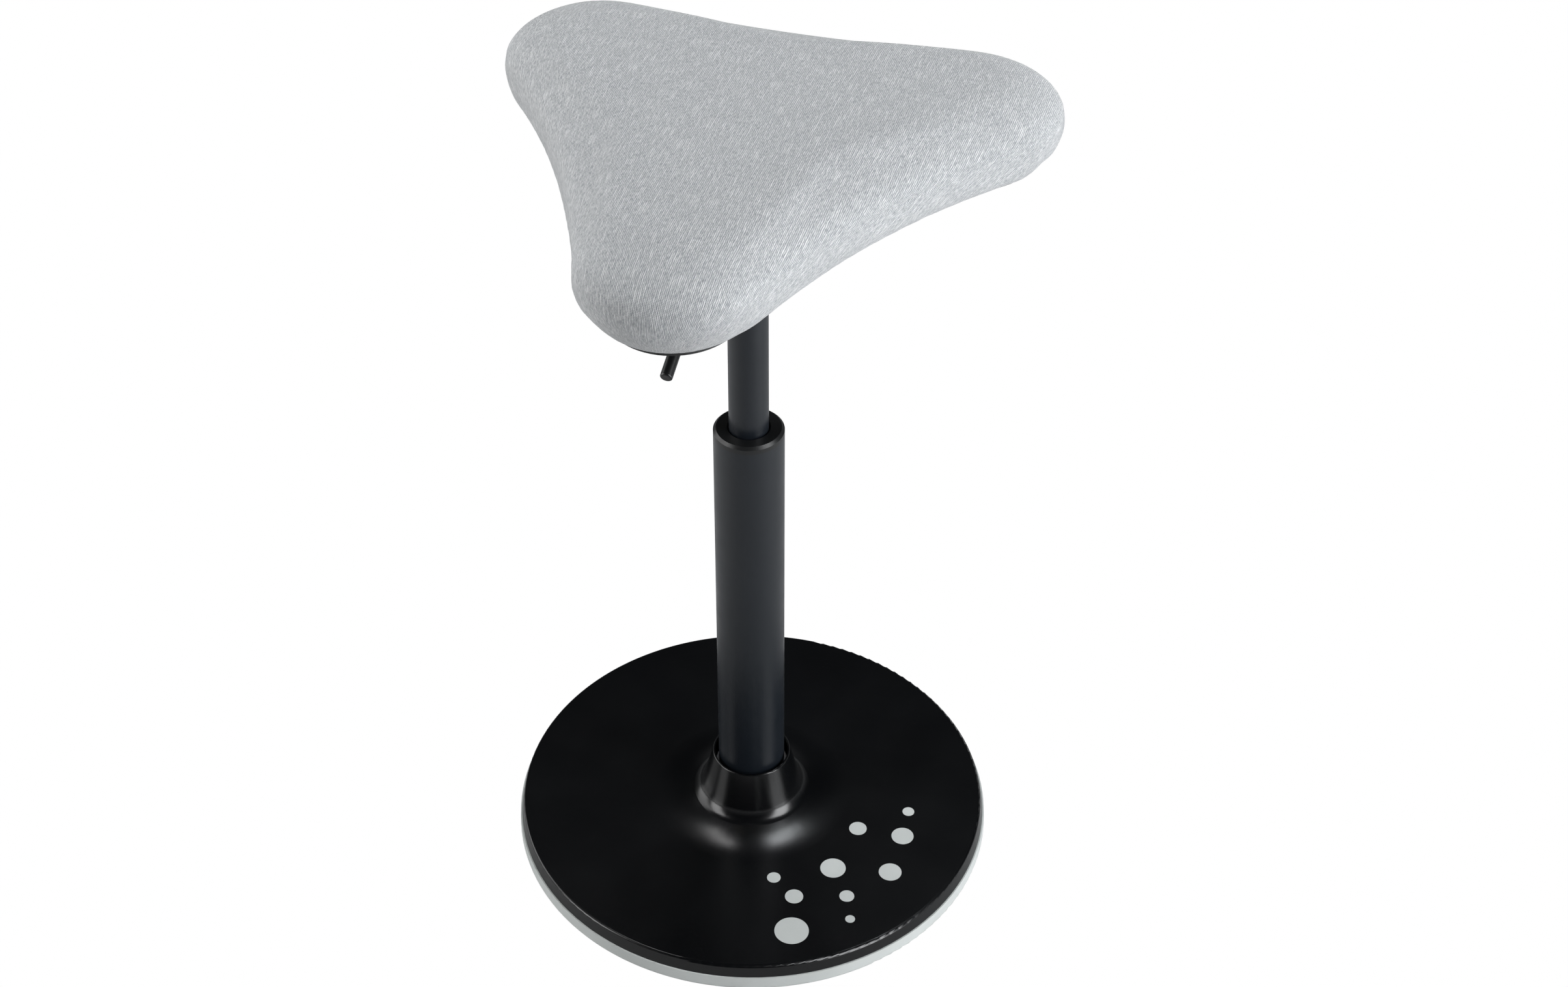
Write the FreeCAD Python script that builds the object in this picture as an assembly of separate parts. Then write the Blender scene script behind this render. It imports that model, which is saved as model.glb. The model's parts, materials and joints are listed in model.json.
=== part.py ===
import FreeCAD
import Part
import math
import os

# Perch stool. Millimetres, +Z up, origin on the floor under the column's axis.
# The seat has three lobes, and one of them points to -Y, over the lift lever.

# Running and assembly clearances
RUNNING_GAP = 0.05
FREE_GAP = 0.3
HOLE_GAP = 0.25
BALL_GAP = 0.03
CUT_MARGIN = 1.0

# Rocker sole
SOLE_RADIUS = 180.6
SOLE_REST_RADIUS = 70.0
SOLE_RIM_LOW = 8.5
SOLE_RIM_ROUND = 3.0
SOLE_FLOOR_TOP = 12.0
SOLE_HEIGHT = 20.0
SOLE_LIP_WIDTH = 8.0
SOLE_RIM_TAPER = 0.6

# Steel weight
WEIGHT_RIM_ROOM = 12.6
WEIGHT_THICKNESS = 8.0
WEIGHT_BORE_RADIUS = 12.0

# Base cover
COVER_SETBACK = 1.6
COVER_SKIRT_LEAN = 1.7
COVER_HEIGHT = 10.0
COVER_EDGE_ROUND = 2.0
COVER_WALL = 2.6
HUB_GAP = 2.7
HUB_RIM_WALL = 1.9
HUB_HEIGHT = 43.5
HUB_ANGLE = 14.0
HUB_FLARE = 45.4
HUB_LONG_BEND = 85.0
HUB_BEND_SLOPE = 21.0

# Screws that clamp cover, weight and sole
BASE_SCREW_COUNT = 6
BASE_SCREW_TURN = 30.0
BASE_SCREW_SETBACK = 10.0
BASE_SCREW_RADIUS = 2.0
BASE_SCREW_HEAD_RADIUS = 4.5
BASE_SCREW_HEAD_HEIGHT = 3.0
BASE_BOSS_RADIUS = 5.0
BASE_ACCESS_RADIUS = 6.0
BASE_SCREW_TIP_GAP = 1.0

# Pale inlays in the base cover: bearing in degrees, setback from the crest, diameter
INLAYS = [
    (5.5, 54.5, 9.0),
    (-10.4, 86.1, 13.4),
    (-6.5, 52.3, 16.8),
    (-36.5, 74.9, 19.1),
    (-22.8, 42.4, 17.1),
    (-62.9, 84.2, 10.2),
    (-57.2, 62.6, 13.6),
    (-40.4, 46.6, 11.1),
    (-44.4, 26.5, 7.2),
    (-61.6, 30.9, 25.3),
]
INLAY_DEPTH = 1.2
INLAY_PROUD = 0.15

# Column
COLUMN_RADIUS = 25.0
COLUMN_WALL = 2.0
COLUMN_LENGTH = 361.5
COLUMN_LIP = 2.5
CAP_HEIGHT = 5.5
CAP_CHAMFER = 2.0
CAP_SPIGOT_DEPTH = 10.0
CAP_SPIGOT_WALL = 2.5
BUSH_LENGTH = 108.0
END_PLATE_THICKNESS = 4.0
COLUMN_LIP_HEIGHT = 4.0

# Socket that carries the column
SOCKET_WALL = 2.2
SOCKET_HEIGHT = 42.0
FLANGE_WIDTH = 35.0
FLANGE_THICKNESS = 5.0
SOCKET_BOLT_COUNT = 4
SOCKET_BOLT_TURN = 45.0
SOCKET_BOLT_SETBACK = 17.0
SOCKET_BOLT_RADIUS = 4.0
SOCKET_BOLT_HEAD_RADIUS = 6.5
SOCKET_BOLT_HEAD_HEIGHT = 5.0
SOCKET_BOLT_ENGAGEMENT = 7.5

# Thrust bearing under the gas spring
RACE_THICKNESS = 2.0
RACE_RADIUS = 13.0
BALL_RADIUS = 1.6
BALL_CIRCLE = 9.0
BALL_COUNT = 12
GROOVE_DEPTH = 0.8
CAGE_THICKNESS = 0.9
CAGE_INNER_RADIUS = 6.0
CAGE_OUTER_RADIUS = 12.0
LOWER_RACE_BORE = 5.0

# Piston rod
ROD_RADIUS = 5.0
ROD_STUB_RADIUS = 4.0
ROD_STUB_BELOW_CLIP = 2.55
CLIP_RADIUS = 6.5
CLIP_THICKNESS = 1.2
CLIP_GROOVE_RADIUS = 3.0
CLIP_WASHER_THICKNESS = 1.2
CLIP_WASHER_RADIUS = 8.0
BUMP_RADIUS = 10.0
BUMP_TOP_GAP = 0.5
BUMP_BELOW = 3.84
BUMP_LENGTH = 22.0

# Gas spring, drawn at the height of the seat in the photograph
LIFT_DOWN = 80.0
LIFT_UP = 120.0
CYLINDER_RADIUS = 14.0
CYLINDER_WALL = 2.2
CYLINDER_LENGTH = 420.0
CYLINDER_END_THICKNESS = 2.0
TAPER_LENGTH = 45.0
TAPER_NARROWING = 1.0
GUIDE_LENGTH = 14.0
SEAL_LENGTH = 8.0
VALVE_BODY_LENGTH = 42.0
INNER_TUBE_GAP = 1.2
INNER_TUBE_WALL = 1.1
PISTON_LENGTH = 14.0
PISTON_TOP_GAP = 5.0
PISTON_RING_RADIUS = 1.2

# Valve pin
PIN_STEM_RADIUS = 2.0
PIN_HEAD_RADIUS = 3.5
PIN_HEAD_HEIGHT = 2.5
PIN_DOME = 0.9
PIN_GAP = 0.2
PIN_STROKE_ROOM = 5.3
PIN_STEM_LENGTH = 26.0

# Lift lever
LEVER_RADIUS = 4.0
LEVER_PIVOT_REACH = 40.0
LEVER_BEND_REACH = 118.0
LEVER_TIP_REACH = 168.5
LEVER_DROOP = 22.0
LEVER_BEND_RADIUS = 22.0
LEVER_TIP_ROUND = 1.1
LEVER_BOSS_RADIUS = 7.0
LEVER_BOSS_LENGTH = 20.0
TONGUE_WIDTH = 10.0
TONGUE_THICKNESS = 4.0
TONGUE_OVERHANG = 9.0
PIVOT_PIN_RADIUS = 2.5
PIN_CLIP_RADIUS = 5.0
PIN_CLIP_THICKNESS = 1.2
PIVOT_PIN_OVERHANG = 3.0

# Seat mechanism
CHANNEL_WALL = 2.5
CHANNEL_INNER_HALF = 16.0
CHANNEL_FRONT = 56.0
CHANNEL_REAR = 24.0
LEVER_SLOT_HALF = 5.5
LEVER_SLOT_LOW = 5.5
LEVER_SLOT_HIGH = 8.0
TAPER_SOCKET_WALL = 4.0
PLATE_LENGTH = 130.0
PLATE_WIDTH = 110.0
PLATE_ABOVE_LEVER = 19.25
PLATE_THICKNESS = 2.5
PLATE_CORNER = 12.0
SEAT_SCREW_SETBACK = 13.0
SEAT_SCREW_RADIUS = 3.0
SEAT_SCREW_HEAD_RADIUS = 5.5
SEAT_SCREW_HEAD_HEIGHT = 3.3
TNUT_FLANGE_RADIUS = 9.0
TNUT_FLANGE_THICKNESS = 1.5
TNUT_BARREL_RADIUS = 4.0

# Seat outline: three round lobes joined by long hollow sides
LOBE_COUNT = 3
FIRST_LOBE_FACING = -90.0
LOBE_CENTRE = 147.8
LOBE_RADIUS = 61.8
SIDE_RADIUS = 640.0
OUTLINE_POINTS = 72

# Seat cushion: heights at the axis, from which the seat droops towards its lobes
SEAT_HEIGHT = 57.0
SEAT_WAIST = 32.3
SEAT_UNDERCUT = 17.5
SEAT_UNDERCUT_ANGLE = 58.0
SEAT_TOP_INSET = 46.0
SEAT_DROOP = 0.000169
FABRIC_THICKNESS = 1.5
HEM_WIDTH = 14.0
BOARD_THICKNESS = 10.0
BOARD_INSET = 19.5
BOARD_BOSS_SETBACK = 0.6
BOARD_BOSS_DROP = 1.45
UNDER_COVER_THICKNESS = 2.5
UNDER_COVER_INSET = 19.0
WINDOW_GAP = 0.5

# Sections of the cushion's side, in degrees below and above its widest line
LOW_SECTIONS = (70, 58, 44, 30, 15, 0)
HIGH_SECTIONS = (15, 30, 45, 60, 75)
LOFT_DEGREE = 3
FOOT_DROP = 14.0
LID_RISE = 6.0
EDGE_CROSSING = 1.5

# Room that cutting shapes leave above and below a drooping layer
DROOP_ROOM = 15.0

# Under-cover screws and cover staples
TRIM_SCREW_RADIUS = 1.5
TRIM_SCREW_HEAD_RADIUS = 3.2
TRIM_SCREW_HEAD_HEIGHT = 1.5
TRIM_SCREW_LENGTH = 8.0
TRIM_SCREW_REACHES = (108.0, 168.0)
STAPLES_PER_LOBE = 5
STAPLE_STEP = 22.0
STAPLE_WIDTH = 10.0
STAPLE_WIRE = 0.6
STAPLE_LEG = 6.0
STAPLE_HEM_SHARE = 0.5

# Base sizes that follow from the sizes above
COVER_SKIRT_RADIUS = SOLE_RADIUS - COVER_SETBACK
COVER_CREST_RADIUS = COVER_SKIRT_RADIUS - COVER_SKIRT_LEAN
COVER_TOP = SOLE_HEIGHT + COVER_HEIGHT
WEIGHT_RADIUS = SOLE_RADIUS - SOLE_LIP_WIDTH - WEIGHT_RIM_ROOM
WEIGHT_TOP = SOLE_FLOOR_TOP + WEIGHT_THICKNESS
BASE_SCREW_CIRCLE = WEIGHT_RADIUS - BASE_SCREW_SETBACK
HUB_TOP = COVER_TOP + HUB_HEIGHT
HUB_BORE_RADIUS = COLUMN_RADIUS + HUB_GAP
HUB_RIM_RADIUS = HUB_BORE_RADIUS + HUB_RIM_WALL
HUB_FOOT_RADIUS = HUB_RIM_RADIUS + HUB_FLARE
FLANGE_TOP = WEIGHT_TOP + FLANGE_THICKNESS
FLANGE_RADIUS = COLUMN_RADIUS + FLANGE_WIDTH
SOCKET_BOLT_CIRCLE = COLUMN_RADIUS + SOCKET_BOLT_SETBACK

# Column and bearing sizes that follow
COLUMN_BORE = COLUMN_RADIUS - COLUMN_WALL
COLUMN_TOP = WEIGHT_TOP + COLUMN_LENGTH
END_PLATE_BOTTOM = WEIGHT_TOP + COLUMN_LIP_HEIGHT
END_PLATE_TOP = END_PLATE_BOTTOM + END_PLATE_THICKNESS
LOWER_RACE_TOP = END_PLATE_TOP + RACE_THICKNESS
BALL_HEIGHT = LOWER_RACE_TOP - GROOVE_DEPTH + BALL_GAP + BALL_RADIUS
UPPER_RACE_BOTTOM = BALL_HEIGHT + BALL_RADIUS + BALL_GAP - GROOVE_DEPTH
UPPER_RACE_TOP = UPPER_RACE_BOTTOM + RACE_THICKNESS
CLIP_WASHER_TOP = END_PLATE_BOTTOM - RUNNING_GAP
CLIP_TOP = CLIP_WASHER_TOP - CLIP_WASHER_THICKNESS
CLIP_BOTTOM = CLIP_TOP - CLIP_THICKNESS

# Gas spring sizes that follow
BUMP_BOTTOM = UPPER_RACE_TOP + BUMP_BELOW
BUMP_TOP = BUMP_BOTTOM + BUMP_LENGTH
CYLINDER_BOTTOM = BUMP_TOP + BUMP_TOP_GAP + LIFT_DOWN
CYLINDER_TOP = CYLINDER_BOTTOM + CYLINDER_LENGTH
CYLINDER_BORE_RADIUS = CYLINDER_RADIUS - CYLINDER_WALL
TAPER_TOP_RADIUS = CYLINDER_RADIUS - TAPER_NARROWING
TAPER_BOTTOM = CYLINDER_TOP - TAPER_LENGTH
TAPER_SOCKET_RADIUS = CYLINDER_RADIUS + TAPER_SOCKET_WALL
GUIDE_BOTTOM = CYLINDER_BOTTOM + CYLINDER_END_THICKNESS
GUIDE_TOP = GUIDE_BOTTOM + GUIDE_LENGTH
SEAL_TOP = GUIDE_TOP + SEAL_LENGTH
VALVE_BODY_TOP = CYLINDER_TOP - CYLINDER_END_THICKNESS
VALVE_BODY_BOTTOM = VALVE_BODY_TOP - VALVE_BODY_LENGTH
PISTON_BOTTOM = SEAL_TOP + LIFT_UP + PISTON_TOP_GAP
PISTON_TOP = PISTON_BOTTOM + PISTON_LENGTH
INNER_TUBE_RADIUS = CYLINDER_BORE_RADIUS - INNER_TUBE_GAP
INNER_TUBE_BORE = INNER_TUBE_RADIUS - INNER_TUBE_WALL

# Mechanism and seat sizes that follow
PIN_HEAD_BOTTOM = CYLINDER_TOP + PIN_STROKE_ROOM
PIN_TOP = PIN_HEAD_BOTTOM + PIN_HEAD_HEIGHT
TONGUE_BOTTOM = PIN_TOP + PIN_GAP
TONGUE_TOP = TONGUE_BOTTOM + TONGUE_THICKNESS
LEVER_HEIGHT = (TONGUE_BOTTOM + TONGUE_TOP) / 2
CHANNEL_FLOOR = CYLINDER_TOP - CHANNEL_WALL
CHANNEL_HALF = CHANNEL_INNER_HALF + CHANNEL_WALL
PLATE_BOTTOM = LEVER_HEIGHT + PLATE_ABOVE_LEVER
BOSS_BOTTOM = PLATE_BOTTOM + PLATE_THICKNESS
BOARD_UNDERSIDE = BOSS_BOTTOM + BOARD_BOSS_DROP
BOARD_TOP = BOARD_UNDERSIDE + BOARD_THICKNESS
SEAT_UNDERSIDE = BOARD_UNDERSIDE - FABRIC_THICKNESS
WAIST_HEIGHT = SEAT_UNDERSIDE + SEAT_WAIST
SEAT_SCREW_X = PLATE_LENGTH / 2 - SEAT_SCREW_SETBACK
SEAT_SCREW_Y = PLATE_WIDTH / 2 - SEAT_SCREW_SETBACK
DOME_RADIUS = 1 / (2 * SEAT_DROOP)


def vec(x, y, z):
    return FreeCAD.Vector(x, y, z)


def line(start, end):
    """Straight edge between two (radius, height) points of a turned profile."""
    return Part.LineSegment(vec(start[0], 0, start[1]), vec(end[0], 0, end[1])).toShape()


def arc(start, middle, end):
    """Round edge through three (radius, height) points of a turned profile."""
    points = [vec(r, 0, z) for r, z in (start, middle, end)]
    return Part.Arc(*points).toShape()


def turn_edges(edges):
    """Solid of revolution about +Z from the closed profile that the edges make."""
    face = Part.Face(Part.Wire(edges))
    return face.revolve(vec(0, 0, 0), vec(0, 0, 1), 360)


def turn(points):
    """Solid of revolution from a profile with straight sides, given as (radius, height)."""
    edges = [line(a, b) for a, b in zip(points, points[1:] + points[:1])]
    return turn_edges(edges)


def rod(radius, low, high, x=0.0, y=0.0):
    """Upright cylinder."""
    return Part.makeCylinder(radius, high - low, vec(x, y, low))


def ring(inner, outer, low, high):
    """Upright sleeve or washer about the axis."""
    return rod(outer, low, high).cut(rod(inner, low, high))


def cross_rod(radius, half_length, y, z):
    """Cylinder that lies along X, centred on the plane of symmetry."""
    return Part.makeCylinder(radius, 2 * half_length, vec(-half_length, y, z), vec(1, 0, 0))


def box(x0, x1, y0, y1, z0, z1):
    return Part.makeBox(x1 - x0, y1 - y0, z1 - z0, vec(x0, y0, z0))


def on_circle(radius, count, first=0.0):
    """Centres that are evenly spaced on a circle."""
    angles = [math.radians(first + 360.0 * i / count) for i in range(count)]
    return [(radius * math.cos(a), radius * math.sin(a)) for a in angles]


def save(name, shape):
    shape.exportStep("parts/%s.step" % name)


def polar(radius, degrees):
    """Plane point at an angle in degrees."""
    return radius * math.cos(math.radians(degrees)), radius * math.sin(math.radians(degrees))


def base_screw_places():
    return on_circle(BASE_SCREW_CIRCLE, BASE_SCREW_COUNT, BASE_SCREW_TURN)


def socket_bolt_places():
    return on_circle(SOCKET_BOLT_CIRCLE, SOCKET_BOLT_COUNT, SOCKET_BOLT_TURN)


def make_rocker_sole():
    """Rubber dish with a flat middle, a long upward curve to the rim and holes for the screws."""
    rim_start = SOLE_RADIUS - SOLE_RIM_ROUND
    run = rim_start - SOLE_REST_RADIUS
    curve_radius = (run ** 2 + SOLE_RIM_LOW ** 2) / (2 * SOLE_RIM_LOW)
    half = run / 2
    half_rise = curve_radius - math.sqrt(curve_radius ** 2 - half ** 2)
    rim_end = (SOLE_RADIUS, SOLE_RIM_LOW + SOLE_RIM_ROUND)
    corner = SOLE_RIM_ROUND * math.sqrt(0.5)
    rim_middle = (rim_start + corner, rim_end[1] - corner)
    top_outer = (SOLE_RADIUS - SOLE_RIM_TAPER, SOLE_HEIGHT)
    top_inner = (SOLE_RADIUS - SOLE_LIP_WIDTH, SOLE_HEIGHT)
    floor_outer = (SOLE_RADIUS - SOLE_LIP_WIDTH, SOLE_FLOOR_TOP)
    edges = [
        line((0, 0), (SOLE_REST_RADIUS, 0)),
        arc((SOLE_REST_RADIUS, 0), (SOLE_REST_RADIUS + half, half_rise), (rim_start, SOLE_RIM_LOW)),
        arc((rim_start, SOLE_RIM_LOW), rim_middle, rim_end),
        line(rim_end, top_outer),
        line(top_outer, top_inner),
        line(top_inner, floor_outer),
        line(floor_outer, (0, SOLE_FLOOR_TOP)),
        line((0, SOLE_FLOOR_TOP), (0, 0)),
    ]
    sole = turn_edges(edges)
    for x, y in base_screw_places():
        sole = sole.cut(rod(BASE_ACCESS_RADIUS, -CUT_MARGIN, SOLE_FLOOR_TOP + CUT_MARGIN, x, y))
    return sole


def make_base_weight():
    """Steel disc with clearance holes for the screws and tapped holes for the socket bolts."""
    weight = ring(WEIGHT_BORE_RADIUS, WEIGHT_RADIUS, SOLE_FLOOR_TOP, WEIGHT_TOP)
    for x, y in base_screw_places():
        weight = weight.cut(rod(BASE_SCREW_RADIUS + HOLE_GAP, SOLE_FLOOR_TOP, WEIGHT_TOP, x, y))
    for x, y in socket_bolt_places():
        weight = weight.cut(rod(SOCKET_BOLT_RADIUS, SOLE_FLOOR_TOP, WEIGHT_TOP, x, y))
    return weight


def hub_flare(rim, foot_height):
    """Five points down the hub's flare: a tight bend from the cone, then a long one to the flat foot."""
    def on_bend(radius, slope, foot):
        return foot[0] - radius * math.sin(slope), foot[1] + radius * (1 - math.cos(slope))

    cone = math.radians(90 - HUB_ANGLE)
    joint = math.radians(HUB_BEND_SLOPE)
    lean = math.tan(math.radians(HUB_ANGLE))
    foot = (HUB_FOOT_RADIUS, foot_height)
    meeting = on_bend(HUB_LONG_BEND, joint, foot)
    room = meeting[0] - rim - (HUB_TOP - meeting[1]) * lean
    tight = room / (math.sin(cone) - math.sin(joint) - (math.cos(joint) - math.cos(cone)) * lean)
    tight_foot = (meeting[0] + tight * math.sin(joint), meeting[1] - tight * (1 - math.cos(joint)))
    return [
        on_bend(tight, cone, tight_foot),
        on_bend(tight, (cone + joint) / 2, tight_foot),
        meeting,
        on_bend(HUB_LONG_BEND, joint / 2, foot),
        foot,
    ]


def inlay_places():
    """Centre and radius of every inlay."""
    return [(*polar(COVER_CREST_RADIUS - setback, bearing), size / 2) for bearing, setback, size in INLAYS]


def make_base_cover():
    """Moulded shell: low skirt, flat top, bell-shaped hub round the column, screw bosses below."""
    under = COVER_TOP - COVER_WALL
    outer = hub_flare(HUB_RIM_RADIUS, COVER_TOP)
    inner = hub_flare(HUB_BORE_RADIUS, under)
    crest_low = (COVER_CREST_RADIUS, COVER_TOP - COVER_EDGE_ROUND)
    crest_high = (COVER_CREST_RADIUS - COVER_EDGE_ROUND, COVER_TOP)
    shift = COVER_EDGE_ROUND * (1 - math.sqrt(0.5))
    crest_middle = (COVER_CREST_RADIUS - shift, COVER_TOP - shift)
    skirt_outer = (COVER_SKIRT_RADIUS, SOLE_HEIGHT)
    skirt_inner = (COVER_SKIRT_RADIUS - COVER_WALL, SOLE_HEIGHT)
    roof = (COVER_CREST_RADIUS - COVER_WALL, under)
    rim_middle = (HUB_RIM_RADIUS - HUB_RIM_WALL / 2, HUB_TOP + HUB_RIM_WALL / 2)
    edges = [
        line(skirt_inner, skirt_outer),
        line(skirt_outer, crest_low),
        arc(crest_low, crest_middle, crest_high),
        line(crest_high, outer[4]),
        arc(outer[4], outer[3], outer[2]),
        arc(outer[2], outer[1], outer[0]),
        line(outer[0], (HUB_RIM_RADIUS, HUB_TOP)),
        arc((HUB_RIM_RADIUS, HUB_TOP), rim_middle, (HUB_BORE_RADIUS, HUB_TOP)),
        line((HUB_BORE_RADIUS, HUB_TOP), inner[0]),
        arc(inner[0], inner[1], inner[2]),
        arc(inner[2], inner[3], inner[4]),
        line(inner[4], roof),
        line(roof, skirt_inner),
    ]
    cover = turn_edges(edges)
    for x, y in base_screw_places():
        cover = cover.fuse(rod(BASE_BOSS_RADIUS, WEIGHT_TOP, under, x, y))
        cover = cover.cut(rod(BASE_SCREW_RADIUS, WEIGHT_TOP, under, x, y))
    for x, y, radius in inlay_places():
        cover = cover.cut(rod(radius, COVER_TOP - INLAY_DEPTH, COVER_TOP, x, y))
    return cover


def make_dot_inlays():
    """Ten pale discs set into the top of the base cover, a little proud of it."""
    floor = COVER_TOP - INLAY_DEPTH
    top = COVER_TOP + INLAY_PROUD
    return Part.makeCompound([rod(radius, floor, top, x, y) for x, y, radius in inlay_places()])


def make_base_screws():
    screws = []
    tip = COVER_TOP - COVER_WALL - BASE_SCREW_TIP_GAP
    for x, y in base_screw_places():
        head = rod(BASE_SCREW_HEAD_RADIUS, SOLE_FLOOR_TOP - BASE_SCREW_HEAD_HEIGHT, SOLE_FLOOR_TOP, x, y)
        screws.append(head.fuse(rod(BASE_SCREW_RADIUS, SOLE_FLOOR_TOP, tip, x, y)))
    return Part.makeCompound(screws)


def make_column_socket():
    """Flanged steel sleeve that is bolted to the weight and clamps the column's foot."""
    flange = ring(COLUMN_RADIUS, FLANGE_RADIUS, WEIGHT_TOP, FLANGE_TOP)
    sleeve = ring(COLUMN_RADIUS, COLUMN_RADIUS + SOCKET_WALL, WEIGHT_TOP, WEIGHT_TOP + SOCKET_HEIGHT)
    socket = flange.fuse(sleeve)
    for x, y in socket_bolt_places():
        socket = socket.cut(rod(SOCKET_BOLT_RADIUS + HOLE_GAP, WEIGHT_TOP, FLANGE_TOP, x, y))
    return socket


def make_socket_bolts():
    bolts = []
    for x, y in socket_bolt_places():
        head = rod(SOCKET_BOLT_HEAD_RADIUS, FLANGE_TOP, FLANGE_TOP + SOCKET_BOLT_HEAD_HEIGHT, x, y)
        shank = rod(SOCKET_BOLT_RADIUS, WEIGHT_TOP - SOCKET_BOLT_ENGAGEMENT, FLANGE_TOP, x, y)
        bolts.append(head.fuse(shank))
    return Part.makeCompound(bolts)


def make_column_tube():
    """Outer tube, with a lip at its foot that carries the end plate."""
    return turn([
        (COLUMN_BORE - COLUMN_LIP, WEIGHT_TOP),
        (COLUMN_RADIUS, WEIGHT_TOP),
        (COLUMN_RADIUS, COLUMN_TOP),
        (COLUMN_BORE, COLUMN_TOP),
        (COLUMN_BORE, END_PLATE_BOTTOM),
        (COLUMN_BORE - COLUMN_LIP, END_PLATE_BOTTOM),
    ])


def make_column_cap_ring():
    """Glossy ring on the tube's end, with a spigot inside the tube."""
    bore = CYLINDER_RADIUS + FREE_GAP + RUNNING_GAP
    top = COLUMN_TOP + CAP_HEIGHT
    foot = COLUMN_TOP - CAP_SPIGOT_DEPTH
    return turn([
        (bore, COLUMN_TOP),
        (COLUMN_BORE - CAP_SPIGOT_WALL, COLUMN_TOP),
        (COLUMN_BORE - CAP_SPIGOT_WALL, foot),
        (COLUMN_BORE, foot),
        (COLUMN_BORE, COLUMN_TOP),
        (COLUMN_RADIUS, COLUMN_TOP),
        (COLUMN_RADIUS, top - CAP_CHAMFER),
        (COLUMN_RADIUS - CAP_CHAMFER, top),
        (bore + CAP_CHAMFER / 2, top),
        (bore, top - CAP_CHAMFER / 2),
    ])


def make_guide_bush():
    """Plastic sleeve in which the gas spring slides and turns."""
    top = COLUMN_TOP - CAP_SPIGOT_DEPTH
    return ring(CYLINDER_RADIUS + RUNNING_GAP, COLUMN_BORE, top - BUSH_LENGTH, top)


def make_end_plate():
    return ring(ROD_STUB_RADIUS + RUNNING_GAP, COLUMN_BORE, END_PLATE_BOTTOM, END_PLATE_TOP)


def ball_track():
    """Ring of round section that the balls sweep, with running clearance."""
    return Part.makeTorus(BALL_CIRCLE, BALL_RADIUS + BALL_GAP, vec(0, 0, BALL_HEIGHT))


def make_lower_race():
    return ring(LOWER_RACE_BORE, RACE_RADIUS, END_PLATE_TOP, LOWER_RACE_TOP).cut(ball_track())


def make_upper_race():
    return ring(ROD_STUB_RADIUS, RACE_RADIUS, UPPER_RACE_BOTTOM, UPPER_RACE_TOP).cut(ball_track())


def make_bearing_balls():
    places = on_circle(BALL_CIRCLE, BALL_COUNT)
    return Part.makeCompound([Part.makeSphere(BALL_RADIUS, vec(x, y, BALL_HEIGHT)) for x, y in places])


def make_bearing_cage():
    """Thin ring with a hole round each ball."""
    low = BALL_HEIGHT - CAGE_THICKNESS / 2
    cage = ring(CAGE_INNER_RADIUS, CAGE_OUTER_RADIUS, low, low + CAGE_THICKNESS)
    for x, y in on_circle(BALL_CIRCLE, BALL_COUNT):
        cage = cage.cut(rod(BALL_RADIUS + RUNNING_GAP, low, low + CAGE_THICKNESS, x, y))
    return cage


def make_piston_rod():
    """Rod with a shoulder on the upper race and a grooved stub through the end plate."""
    stub_end = CLIP_BOTTOM - ROD_STUB_BELOW_CLIP
    return turn([
        (0, stub_end),
        (ROD_STUB_RADIUS, stub_end),
        (ROD_STUB_RADIUS, CLIP_BOTTOM),
        (CLIP_GROOVE_RADIUS, CLIP_BOTTOM),
        (CLIP_GROOVE_RADIUS, CLIP_TOP),
        (ROD_STUB_RADIUS, CLIP_TOP),
        (ROD_STUB_RADIUS, UPPER_RACE_TOP),
        (ROD_RADIUS, UPPER_RACE_TOP),
        (ROD_RADIUS, PISTON_BOTTOM),
        (ROD_STUB_RADIUS, PISTON_BOTTOM),
        (ROD_STUB_RADIUS, PISTON_TOP),
        (0, PISTON_TOP),
    ])


def make_clip_washer():
    return ring(ROD_STUB_RADIUS, CLIP_WASHER_RADIUS, CLIP_TOP, CLIP_WASHER_TOP)


def make_rod_clip():
    """Open clip that snaps into the groove of the rod."""
    gap = box(0, CLIP_RADIUS, -CLIP_GROOVE_RADIUS, CLIP_GROOVE_RADIUS, CLIP_BOTTOM, CLIP_TOP)
    return ring(CLIP_GROOVE_RADIUS, CLIP_RADIUS, CLIP_BOTTOM, CLIP_TOP).cut(gap)


def make_bump_stop():
    return ring(ROD_RADIUS, BUMP_RADIUS, BUMP_BOTTOM, BUMP_TOP)


def make_piston():
    """Piston on the rod's end, with a round groove for its ring."""
    body = ring(ROD_STUB_RADIUS, INNER_TUBE_BORE - FREE_GAP, PISTON_BOTTOM, PISTON_TOP)
    return body.cut(piston_ring_shape())


def piston_ring_shape():
    middle = (PISTON_BOTTOM + PISTON_TOP) / 2
    centre_radius = INNER_TUBE_BORE - RUNNING_GAP - PISTON_RING_RADIUS
    return Part.makeTorus(centre_radius, PISTON_RING_RADIUS, vec(0, 0, middle))


def make_pressure_cylinder():
    """Sliding tube of the gas spring, rolled over at the bottom and tapered at the top."""
    pin_hole = PIN_STEM_RADIUS + HOLE_GAP
    rod_hole = ROD_RADIUS + HOLE_GAP
    return turn([
        (rod_hole, CYLINDER_BOTTOM),
        (CYLINDER_RADIUS, CYLINDER_BOTTOM),
        (CYLINDER_RADIUS, TAPER_BOTTOM),
        (TAPER_TOP_RADIUS, CYLINDER_TOP),
        (pin_hole, CYLINDER_TOP),
        (pin_hole, VALVE_BODY_TOP),
        (CYLINDER_BORE_RADIUS, VALVE_BODY_TOP),
        (CYLINDER_BORE_RADIUS, GUIDE_BOTTOM),
        (rod_hole, GUIDE_BOTTOM),
    ])


def make_inner_tube():
    return ring(INNER_TUBE_BORE, INNER_TUBE_RADIUS, SEAL_TOP, VALVE_BODY_BOTTOM)


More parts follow.
